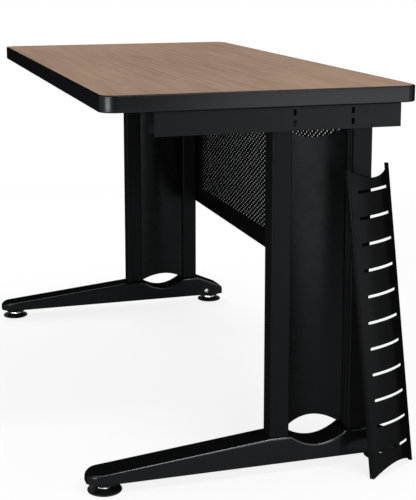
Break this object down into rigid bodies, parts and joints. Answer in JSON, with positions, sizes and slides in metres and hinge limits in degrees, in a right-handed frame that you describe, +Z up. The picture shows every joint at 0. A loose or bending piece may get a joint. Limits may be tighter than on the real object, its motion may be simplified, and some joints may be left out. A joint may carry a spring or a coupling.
{
  "type": "teacher desk",
  "caption": "Rectangular laminate desk on two cantilever legs with cable channels, slotted lift-off covers, levelling glides and a perforated modesty panel.",
  "frame": {"origin": "middle of the object's box, on the floor", "axes": "+Z up, +X to the user's right, +Y away from the user, towards the modesty panel"},
  "size_m": [1.296, 0.6428, 0.737],
  "materials": {
    "walnut_laminate": "satin high-pressure laminate, walnut grain",
    "particle_board": "raw particle board",
    "backer_paper": "matt phenolic backer",
    "edge_band": "black vinyl edge band, satin",
    "arm_steel": "black powder coat",
    "post_extrusion": "black powder-coated extrusion",
    "inner_panel": "black powder coat",
    "cable_cover": "black moulded plastic, fine texture",
    "foot_casting": "black powder-coated casting",
    "glide_pad": "black nylon",
    "perforated_steel": "black powder coat",
    "zinc_steel": "zinc plated",
    "brass_insert": "machined"
  },
  "bodies": {
    "desk": {"backer_sheet": "backer_paper", "edge_band": "edge_band", "left_back_arm_screw": "zinc_steel", "left_back_glide_insert": "brass_insert", "left_back_post": "post_extrusion", "left_back_post_stud_1": "zinc_steel", "left_back_post_stud_2": "zinc_steel", "left_back_post_stud_3": "zinc_steel", "left_back_tie_rod": "zinc_steel", "left_foot": "foot_casting", "left_front_arm_screw": "zinc_steel", "left_front_glide_insert": "brass_insert", "left_front_post": "post_extrusion", "left_front_post_stud_1": "zinc_steel", "left_front_post_stud_2": "zinc_steel", "left_front_post_stud_3": "zinc_steel", "left_front_tie_rod": "zinc_steel", "left_heel_bolt": "zinc_steel", "left_inner_panel": "inner_panel", "left_modesty_screw_1": "zinc_steel", "left_modesty_screw_2": "zinc_steel", "left_top_arm": "arm_steel", "modesty_panel": "perforated_steel", "right_back_arm_screw": "zinc_steel", "right_back_glide_insert": "brass_insert", "right_back_post": "post_extrusion", "right_back_post_stud_1": "zinc_steel", "right_back_post_stud_2": "zinc_steel", "right_back_post_stud_3": "zinc_steel", "right_back_tie_rod": "zinc_steel", "right_foot": "foot_casting", "right_front_arm_screw": "zinc_steel", "right_front_glide_insert": "brass_insert", "right_front_post": "post_extrusion", "right_front_post_stud_1": "zinc_steel", "right_front_post_stud_2": "zinc_steel", "right_front_post_stud_3": "zinc_steel", "right_front_tie_rod": "zinc_steel", "right_heel_bolt": "zinc_steel", "right_inner_panel": "inner_panel", "right_modesty_screw_1": "zinc_steel", "right_modesty_screw_2": "zinc_steel", "right_top_arm": "arm_steel", "top_core": "particle_board", "top_laminate": "walnut_laminate"},
    "right_front_glide": {"right_front_glide_pad": "glide_pad", "right_front_glide_stem": "zinc_steel"},
    "right_back_glide": {"right_back_glide_pad": "glide_pad", "right_back_glide_stem": "zinc_steel"},
    "right_cover": {"right_cable_cover": "cable_cover"},
    "left_front_glide": {"left_front_glide_pad": "glide_pad", "left_front_glide_stem": "zinc_steel"},
    "left_back_glide": {"left_back_glide_pad": "glide_pad", "left_back_glide_stem": "zinc_steel"},
    "left_cover": {"left_cable_cover": "cable_cover"}
  },
  "joints": [
    {"name": "right_front_glide_level", "type": "slide", "parent": "desk", "child": "right_front_glide", "axis": [0, 0, -1], "range_m": [0, 0.008]},
    {"name": "right_back_glide_level", "type": "slide", "parent": "desk", "child": "right_back_glide", "axis": [0, 0, -1], "range_m": [0, 0.008]},
    {"name": "left_front_glide_level", "type": "slide", "parent": "desk", "child": "left_front_glide", "axis": [0, 0, -1], "range_m": [0, 0.008]},
    {"name": "left_back_glide_level", "type": "slide", "parent": "desk", "child": "left_back_glide", "axis": [0, 0, -1], "range_m": [0, 0.008]},
    {"name": "right_cover_take_away", "type": "slide", "parent": "desk", "child": "right_cover", "axis": [0.8813, 0.4726, 0], "range_m": [0, 0.25]},
    {"name": "left_cover_pull_off", "type": "slide", "parent": "desk", "child": "left_cover", "axis": [-1, 0, 0], "range_m": [0, 0.1]}
  ]
}
